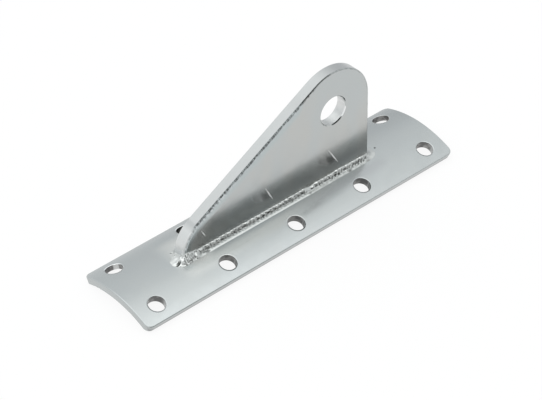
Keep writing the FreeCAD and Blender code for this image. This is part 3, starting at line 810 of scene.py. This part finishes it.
# Hollows in the bead's face, in the same order, both deep and dark with painted shade
HOLLOWS = [
    (-44.1, 0.24, 0.5, 0.12, 0.5, 0), (-44.1, 0.74, 0.9, 0.10, 0.7, 0), (-42.0, 0.60, 0.4, 0.34, 0.3, -1.7),
    (-39.1, 0.50, 0.8, 0.18, 0.25, 0), (-38.6, 0.27, 0.4, 0.08, 0.6, 0), (-36.9, 0.55, 0.6, 0.24, 0.55, -3),
    (-36.0, 0.40, 0.6, 0.24, 0.55, -3), (-35.0, 0.75, 0.8, 0.08, 0.5, 0), (-31.8, 0.48, 2.2, 0.22, 0.5, 0),
    (-28.0, 0.44, 1.4, 0.15, 0.85, 2), (-25.4, 0.42, 0.7, 0.18, 0.7, 0), (-23.8, 0.40, 0.8, 0.13, 0.6, 0),
    (-22.3, 0.38, 0.8, 0.20, 0.9, 0), (-20.2, 0.42, 1.4, 0.18, 0.75, 0), (-17.6, 0.38, 2.0, 0.17, 0.8, 0),
    (-15.2, 0.45, 0.9, 0.15, 0.6, 0), (-13.6, 0.50, 0.8, 0.18, 0.45, 0), (-10.9, 0.43, 1.1, 0.15, 0.9, 0),
    (-8.3, 0.43, 1.1, 0.16, 0.95, 0), (-5.7, 0.38, 1.6, 0.15, 1.0, 0), (-2.4, 0.40, 0.8, 0.18, 0.95, 0),
    (-0.7, 0.43, 0.5, 0.13, 0.7, 0), (0.3, 0.43, 0.5, 0.15, 0.8, 0), (1.5, 0.40, 0.5, 0.15, 0.85, 0),
    (3.0, 0.40, 0.8, 0.22, 0.8, 0), (4.3, 0.38, 0.7, 0.22, 0.75, 0), (5.8, 0.50, 0.7, 0.18, 0.8, 0),
    (7.4, 0.45, 0.5, 0.18, 0.4, 0), (9.0, 0.42, 1.0, 0.18, 0.75, 0), (10.9, 0.38, 1.3, 0.18, 0.85, 0),
    (15.9, 0.40, 0.8, 0.11, 1.0, 5), (17.9, 0.40, 1.3, 0.16, 0.75, 0), (19.7, 0.45, 0.8, 0.14, 0.95, -2),
    (22.5, 0.42, 1.5, 0.16, 0.7, -2), (24.6, 0.40, 0.8, 0.15, 0.85, 0), (25.9, 0.50, 0.45, 0.22, 0.95, -2.5),
    (27.6, 0.43, 0.9, 0.22, 0.95, -1), (29.3, 0.50, 0.8, 0.18, 1.0, -1), (32.5, 0.40, 1.5, 0.16, 0.8, 0),
    (34.3, 0.50, 0.5, 0.20, 0.3, -3), (36.6, 0.43, 0.8, 0.28, 0.75, -3.4),
    (38.1, 0.43, 0.6, 0.28, 0.75, -2.5), (39.5, 0.40, 0.7, 0.30, 0.95, -2.5),
    (40.9, 0.45, 0.5, 0.27, 1.0, -2.5), (41.8, 0.55, 0.4, 0.16, 0.85, -2.5),
    (42.8, 0.42, 0.5, 0.24, 0.55, -2.5),
]
HOLLOW_DEPTH = 0.24
# Blobs on its shoulder: x, how far down, half length, how high
BLOBS = [
    (-39.5, 0.20, 0.7, 0.6), (-37.8, 0.22, 0.9, 1.0), (-34.8, 0.15, 1.2, 0.7), (-32.0, 0.17, 1.5, 0.7),
    (-29.5, 0.22, 1.1, 1.0), (-27.0, 0.15, 0.9, 0.6), (-24.5, 0.20, 1.0, 0.9), (-23.2, 0.20, 0.6, 0.6),
    (-16.0, 0.20, 1.5, 1.0), (-13.0, 0.15, 1.6, 0.5), (-10.2, 0.20, 1.1, 0.9), (-7.9, 0.20, 0.9, 0.8),
    (-5.8, 0.18, 1.1, 0.8), (-4.1, 0.20, 0.6, 0.6), (-2.4, 0.15, 0.6, 0.6), (-1.3, 0.25, 0.6, 1.0),
    (0.5, 0.23, 0.8, 0.9), (1.6, 0.20, 0.6, 0.8), (3.5, 0.17, 0.9, 0.8), (6.2, 0.15, 1.8, 0.6),
    (9.0, 0.17, 0.8, 0.8), (10.6, 0.15, 0.9, 1.0), (11.8, 0.10, 0.5, 0.6), (16.3, 0.25, 0.6, 1.0),
    (18.3, 0.12, 1.7, 0.6), (21.0, 0.15, 1.3, 0.6), (24.8, 0.12, 0.7, 0.8), (26.1, 0.15, 0.6, 0.8),
    (28.3, 0.10, 1.4, 0.6), (31.0, 0.12, 1.4, 0.5), (34.0, 0.15, 1.6, 0.6), (37.5, 0.10, 1.6, 0.6),
    (40.5, 0.10, 1.6, 0.6),
]
BLOB_HEIGHT = 0.17
BLOB_HALF_SPAN = 0.2
BLOB_SPOTS = [(x, down, length, BLOB_HALF_SPAN, height, 0) for x, down, length, height in BLOBS]
# Pits at the toe, darkened with painted shade: start and end as x and y, half width,
# depth and how dark. A pit of negative depth and darkness is a bump with a painted highlight.
PITS = [
    ((-49.3, -3.35), (-47.8, -2.9), 0.7, 1.2, 1.0),
    ((-45.1, -3.0), (-44.9, -3.0), 0.35, 0.4, 0.7),
    ((-46.6, -4.6), (-46.5, -4.6), 0.3, 0.25, 0.8),
    ((-45.4, 3.0), (-46.6, 4.0), 0.4, 0.4, 0.7),
    ((-47.0, 1.2), (-46.6, 1.2), 0.55, -0.7, -0.3),
]
PIT_FLOOR = 0.02
# A hollow or pit this dark takes the place of the other shades
LEAST_DARK = 0.02
# A spot is full out to this share of its half size, and one that leans reaches this
# much further along x
SPOT_CORE = 0.25
SPOT_LEAN_ROOM = 2
# The near bead stops and starts again here: x of the crater's start and end
CRATER = (11.8, 15.9)
CRATER_BAND = (CRATER[0], CRATER[0] + 0.7, CRATER[1] - 0.4, CRATER[1])
SECTION_STEPS = 33
RING_STEP = 0.12
CORNER_INSET = 0.6
CORNER_WAY = 3.0
END_TURN_OVERLAP = 1.6
BURIED_DEPTH = 0.12
BURIED_BACK = 0.3
BURIED_TOE_INSET = 0.05
CONTACT_OVERLAP = 0.15
# The parts of a section, each as where down it a part starts and has started, and
# where it ends and has ended
BODY_BAND = (0.0, 0.08, 0.62, 0.75)
FACE_BAND = (0.25, 0.33, 0.58, 0.74)
SHOULDER_END = (0.25, 0.32)
LIP_START = (0.7, 0.8)
# The ripples, and the noise of the section's size and surface: how high, how wide
RIPPLE_PITCH = 1.7
RIPPLE_DEPTH = 0.05
RIPPLE_WANDER = (0.6, 2.1)
RIPPLE_LEAN = -0.5
RIPPLE_LEAN_AFTER_CRATER = 2.2
RISE_NOISE = ((0.05, 6.0), (0.05, 1.3))
REACH_NOISE = ((0.03, 5.0), (0.25, 1.5))
SKIN_NOISE = ((0.05, 0.9), (0.04, 0.35))
SKIN_STRETCH = 4
LUMP_NOISE = (2.0, 1.1)
LUMP_END = (0.8, 1.0)
OUT_PER_LIFT = 0.75
UP_PER_LIFT = 0.65
# The near bead ends past the middle of the heel. The far bead has its hollows and
# blobs the other way round, and noise of its own.
NEAR_END = 96
FAR_SEED = 40.0
# From this far past half way round, a place is counted back from the near toe corner
COUNTED_BACK_PAST_HALF = 20
# How dark the bead is on its shoulder, its face and its lip, before and after the crater
SHOULDER_SHADES = (0.36, 0.30)
FACE_SHADES = (0.44, 0.20)
LIP_SHADES = (0.08, 0.24)
LIP_PATCH_WIDTH = 1.9
CRATER_PALENESS = 0.6
UNDERCUT_SHADE = 0.75
UNDERCUT_END = 0.04
# Painted highlight on the shoulder's blobs
BLOB_BRIGHTNESS = 0.4
LUMP_PALENESS = 0.7
# The lump at the near toe corner has an uneven painted highlight, the disc of metal in
# front of the toe a painted highlight, and the other places there and behind the heel painted shade
CORNER_BAND = (-4.0, -2.2, 0.8, 3.4)
CORNER_BRIGHTNESS = 0.45
CORNER_PATCH_WIDTH = 0.7
DISC_CENTRE = -3.9
DISC_HALF_WAY = 2.8
DISC_BRIGHTNESS = 0.3
DISC_START = (0.12, 0.3)
TOE_BAND = (-8, -5, -1.5, 1.5)
TOE_LIP_SHADE = 0.35
TOE_LIP_START = (0.6, 0.8)
HEEL_BAND = (90.0, 92.0, 100, 103)
HEEL_SHADE = 0.22
HEEL_SHADE_END = (0.45, 0.7)


def from_table(value, table):
    """The number at value in a table of (value, number) pairs, smoothly between them."""
    if value <= table[0][0]:
        return table[0][1]
    for (low, first), (high, last) in zip(table, table[1:]):
        if value <= high:
            return first + (last - first) * smoothly(value, low, high)
    return table[-1][1]


def smoothly(value, low, high):
    share = min(max((value - low) / (high - low), 0.0), 1.0)
    return share * share * (3 - 2 * share)


def band(value, start, started, end, ended):
    """1 between started and end, falling smoothly to 0 at start and at ended."""
    return smoothly(value, start, started) * (1 - smoothly(value, end, ended))


def hump(value, centre, half_width):
    """1 at the centre, falling smoothly to 0 at half_width from it."""
    return 1 - smoothly(abs(value - centre), 0.0, half_width)


def rounded_curve(points, share):
    """The point at that share of a smooth curve through points, by Catmull and Rom."""
    spot = share * (len(points) - 1)
    index = min(int(spot), len(points) - 2)
    u = spot - index
    a, b, c, d = (Vector(points[min(max(index + k, 0), len(points) - 1)]) for k in (-1, 0, 1, 2))
    return b + 0.5 * u * (c - a + u * (2 * a - 5 * b + 4 * c - d + u * (3 * (b - c) + d - a)))


def rough(scale, *place):
    """Smooth noise from about -1 to 1, whose lumps are that wide.

    Bare numbers in a place only keep one use of the noise apart from another."""
    return noise.noise(Vector(place) / scale)


def foot_outline():
    """The corners of the lug's foot, inset, in the order the weld goes round it."""
    west = LUG_LOW.x / MM + CORNER_INSET
    east = LUG_HIGH.x / MM - CORNER_INSET
    south = LUG_LOW.y / MM + CORNER_INSET
    north = LUG_HIGH.y / MM - CORNER_INSET
    return [Vector(c) for c in ((west, south), (east, south), (east, north), (west, north))]


FOOT = foot_outline()
SIDE_WAY = FOOT[1].x - FOOT[0].x
END_WAY = FOOT[2].y - FOOT[1].y
FULL_WAY = 2 * (SIDE_WAY + END_WAY + 2 * CORNER_WAY)


def foot_place(way):
    """The inset root of the weld after that way round the foot, and the outward angle."""
    way %= FULL_WAY
    for index, length in enumerate((SIDE_WAY, END_WAY, SIDE_WAY, END_WAY)):
        start, end = FOOT[index], FOOT[(index + 1) % 4]
        outward = math.radians(90 * index - 90)
        if way <= length:
            return start.lerp(end, way / length), outward
        way -= length
        if way <= CORNER_WAY:
            return end.copy(), outward + math.radians(90) * way / CORNER_WAY
        way -= CORNER_WAY
    return FOOT[0].copy(), math.radians(-90)


def plate_height(y):
    """The plate's surface over its crown at y."""
    radius = PLATE_RADIUS / MM
    return math.sqrt(radius * radius - y * y) - radius


def pitted(x, y, up):
    """The height after the pits are sunk, and how dark their painted shade makes the metal there."""
    dark = 0.0
    for start, end, width, depth, shade in PITS:
        a, b, here = Vector(start), Vector(end), Vector((x, y))
        share = min(max((here - a).dot(b - a) / (b - a).length_squared, 0.0), 1.0)
        near = hump((here - a.lerp(b, share)).length, 0.0, width)
        up = max(up - depth * near, min(up, PIT_FLOOR))
        if near > 0:
            dark = max(dark, shade * near) if shade > 0 else min(dark, shade * near)
    return up, dark


def spotted(x, down, spots):
    """How strongly the strongest of some spots reaches a place on the near bead."""
    best = 0.0
    for centre, middle, length, height, strength, lean in spots:
        if abs(x - centre) < length + SPOT_LEAN_ROOM:
            u = (x - centre - lean * (down - middle)) / length
            v = (down - middle) / height
            best = max(best, strength * (1 - smoothly(math.hypot(u, v), SPOT_CORE, 1.0)))
    return best


class WeldPlace:
    """What the weld is like after a way round the foot."""

    def __init__(self, way):
        self.root, angle = foot_place(way)
        self.outward = Vector((math.cos(angle), math.sin(angle)))
        self.spot = way if way < FULL_WAY / 2 + COUNTED_BACK_PAST_HALF else way - FULL_WAY
        self.near = self.spot < NEAR_END
        self.seed = 0.0 if self.near else FAR_SEED
        self.x = self.root.x if self.near else -self.root.x
        self.puddle = from_table(self.spot, PUDDLE_SHARES)
        self.plain = 1 - self.puddle
        # 1 beside the lug, and 0 in front of its toe and behind its heel
        self.side = abs(math.sin(angle)) ** 4 * self.plain
        self.lumps = from_table(self.spot, LUMP_HEIGHTS)
        self.lumpy = min(self.lumps / FULL_LUMP_HEIGHT, 1.0)
        self.corner = band(self.spot, *CORNER_BAND)
        self.crater = band(self.x, *CRATER_BAND) if self.near else 0.0
        self.lean = RIPPLE_LEAN_AFTER_CRATER if self.near and self.x > CRATER[1] else RIPPLE_LEAN
        self.size_section()
        later = smoothly(self.x, *CRATER)
        self.shoulder_shade, self.face_shade, self.lip_shade = (
            (before + (after - before) * later) * (1 - CRATER_PALENESS * self.crater)
            for before, after in (SHOULDER_SHADES, FACE_SHADES, LIP_SHADES)
        )

    def size_section(self):
        """Set how far the weld rises and reaches here."""
        (long_rise, long_scale), (short_rise, short_scale) = RISE_NOISE
        self.rise = from_table(self.spot, RISES) + self.plain * (
            long_rise * rough(long_scale, self.spot, self.seed, 0)
            + short_rise * rough(short_scale, self.spot, self.seed, 7)
        )
        (plain_reach, plain_scale), (lump_reach, lump_scale) = REACH_NOISE
        self.reach = (
            from_table(self.spot, REACHES)
            + plain_reach * rough(plain_scale, self.spot, self.seed, 3)
            + lump_reach * self.lumps * rough(lump_scale, self.spot, 1, 3)
        )

    def section(self, down):
        """The smooth section's point at a place down it."""
        bead = rounded_curve(BEAD_SECTION, down).lerp(rounded_curve(LUMP_SECTION, down), self.lumpy)
        return bead.lerp(rounded_curve(PUDDLE_SECTION, down), self.puddle)

    def lift(self, down, out, hollow, blob):
        """How far ripples, blobs, hollows and lumps lift the surface."""
        body = band(down, *BODY_BAND) * self.plain
        wander, wander_scale = RIPPLE_WANDER
        wandering = wander * rough(wander_scale, self.spot, self.seed, 11)
        phase = self.spot / RIPPLE_PITCH + wandering + self.lean * out
        lift = RIPPLE_DEPTH * math.sin(2 * math.pi * phase) * body * (1 - self.crater)
        lift += BLOB_HEIGHT * blob - HOLLOW_DEPTH * hollow * smoothly(down, *SHOULDER_END)
        for height, scale in SKIN_NOISE:
            lift += height * rough(scale, self.spot, down * SKIN_STRETCH, self.seed) * body
        height, scale = LUMP_NOISE
        lumps = self.lumps * height * rough(scale, self.spot, out * self.reach, self.seed + 9)
        return lift + lumps * (1 - smoothly(out, *LUMP_END))

    def shade(self, down, blob):
        """How dark soot and painted shade make the surface, apart from hollows and pits. Under 0 it has a
        painted highlight.
        """
        shade = (1 - smoothly(down, *SHOULDER_END)) * self.shoulder_shade * (1 - blob)
        shade += band(down, *FACE_BAND) * self.face_shade
        shade += spotted(self.x, down, SHADED_LIPS) * self.near
        shade += UNDERCUT_SHADE * (1 - smoothly(down, 0.0, UNDERCUT_END))
        patchy = 1 + rough(LIP_PATCH_WIDTH, self.spot, self.seed, 31)
        shade += self.lip_shade * smoothly(down, *LIP_START) * patchy
        shade *= self.side * (1 - LUMP_PALENESS * self.lumpy)
        uneven = 0.5 + 1.5 * rough(CORNER_PATCH_WIDTH, self.spot, down * 5, 77)
        shade -= CORNER_BRIGHTNESS * self.corner * uneven + BLOB_BRIGHTNESS * blob * (1 - self.corner)
        disc = hump(self.spot, DISC_CENTRE, DISC_HALF_WAY)
        shade -= DISC_BRIGHTNESS * disc * smoothly(down, *DISC_START)
        shade += TOE_LIP_SHADE * smoothly(down, *TOE_LIP_START) * band(self.spot, *TOE_BAND) * (1 - disc)
        shade += HEEL_SHADE * band(self.spot, *HEEL_BAND) * (1 - smoothly(down, *HEEL_SHADE_END))
        return shade

    def flat(self, wide):
        """The x and y that far out from the lug."""
        return self.root + self.outward * (CORNER_INSET + wide)

    def point(self, wide, high):
        """The point that far out from the lug and up from the plate, in metres."""
        x, y = self.flat(wide)
        return Vector((x, y, CROWN / MM + plate_height(y) + high)) * MM


def weld_ring(way):
    """The closed section of the weld at one place, as points and how dark each is."""
    here = WeldPlace(way)
    points, shades = [], []
    for step in range(SECTION_STEPS + 1):
        down = step / SECTION_STEPS
        out, up = here.section(down)
        hollow = spotted(here.x, down, HOLLOWS) * here.side
        blob = spotted(here.x, down, BLOB_SPOTS) * here.side
        lift = here.lift(down, out, hollow, blob)
        wide = out * here.reach + OUT_PER_LIFT * lift if step > 0 else -CONTACT_OVERLAP
        high = up * here.rise + UP_PER_LIFT * lift
        high, pit = pitted(*here.flat(wide), max(high, 0.0))
        shade = here.shade(down, blob)
        if max(pit, hollow) > LEAST_DARK:
            shade = max(pit, hollow, shade)
        points.append((wide, high))
        shades.append(min(shade, 1.0))
    reach = points[-1][0]
    points[-1] = (reach, 0.0)
    points += [
        (reach - BURIED_TOE_INSET, -BURIED_DEPTH),
        (-BURIED_BACK, -BURIED_DEPTH),
        (-BURIED_BACK, points[0][1]),
    ]
    shades += [0.0] * 3
    return [here.point(wide, high) for wide, high in points], shades


def make_weld(name, start, end, material):
    """A closed piece of the bead between two places, in the place of its CAD node."""
    count = math.ceil((end - start) / RING_STEP)
    rings = [weld_ring(start + (end - start) * i / count) for i in range(count + 1)]
    size = len(rings[0][0])
    points = [point for ring, _ in rings for point in ring]
    faces = []
    for i in range(count):
        for k in range(size):
            m = (k + 1) % size
            faces.append((i * size + k, i * size + m, (i + 1) * size + m, (i + 1) * size + k))
    faces.append(tuple(range(size - 1, -1, -1)))
    faces.append(tuple(count * size + k for k in range(size)))
    mesh = bpy.data.meshes.new(name)
    mesh.from_pydata(points, [], faces)
    mesh.polygons.foreach_set("use_smooth", [True] * len(mesh.polygons))
    shade = mesh.attributes.new("shade", "FLOAT", "POINT")
    shade.data.foreach_set("value", [value for _, shades in rings for value in shades])
    mesh.materials.append(material)
    piece = bpy.data.objects.new(name, mesh)
    bpy.context.collection.objects.link(piece)
    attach(piece, "root")
    return piece


def make_welds():
    material = weld_steel()
    overlap = END_TURN_OVERLAP - CORNER_INSET
    half = FULL_WAY / 2
    runs = [
        ("right_side_weld", "right_weld_bead", overlap, SIDE_WAY - overlap),
        ("heel_weld", "heel_weld_turn", SIDE_WAY - overlap, half + overlap),
        ("left_side_weld", "left_weld_bead", half + overlap, half + SIDE_WAY - overlap),
        ("toe_weld", "toe_weld_turn", half + SIDE_WAY - overlap, FULL_WAY + overlap),
    ]
    for node, name, start, end in runs:
        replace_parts(make_weld(name, start, end, material), node)


bpy.context.scene.view_settings.view_transform = "Standard"
make_camera()
make_surroundings()
make_floor()
make_key_lamp()
dress("base_plate", plate_steel())
dress("vang_lug", lug_steel())
make_welds()
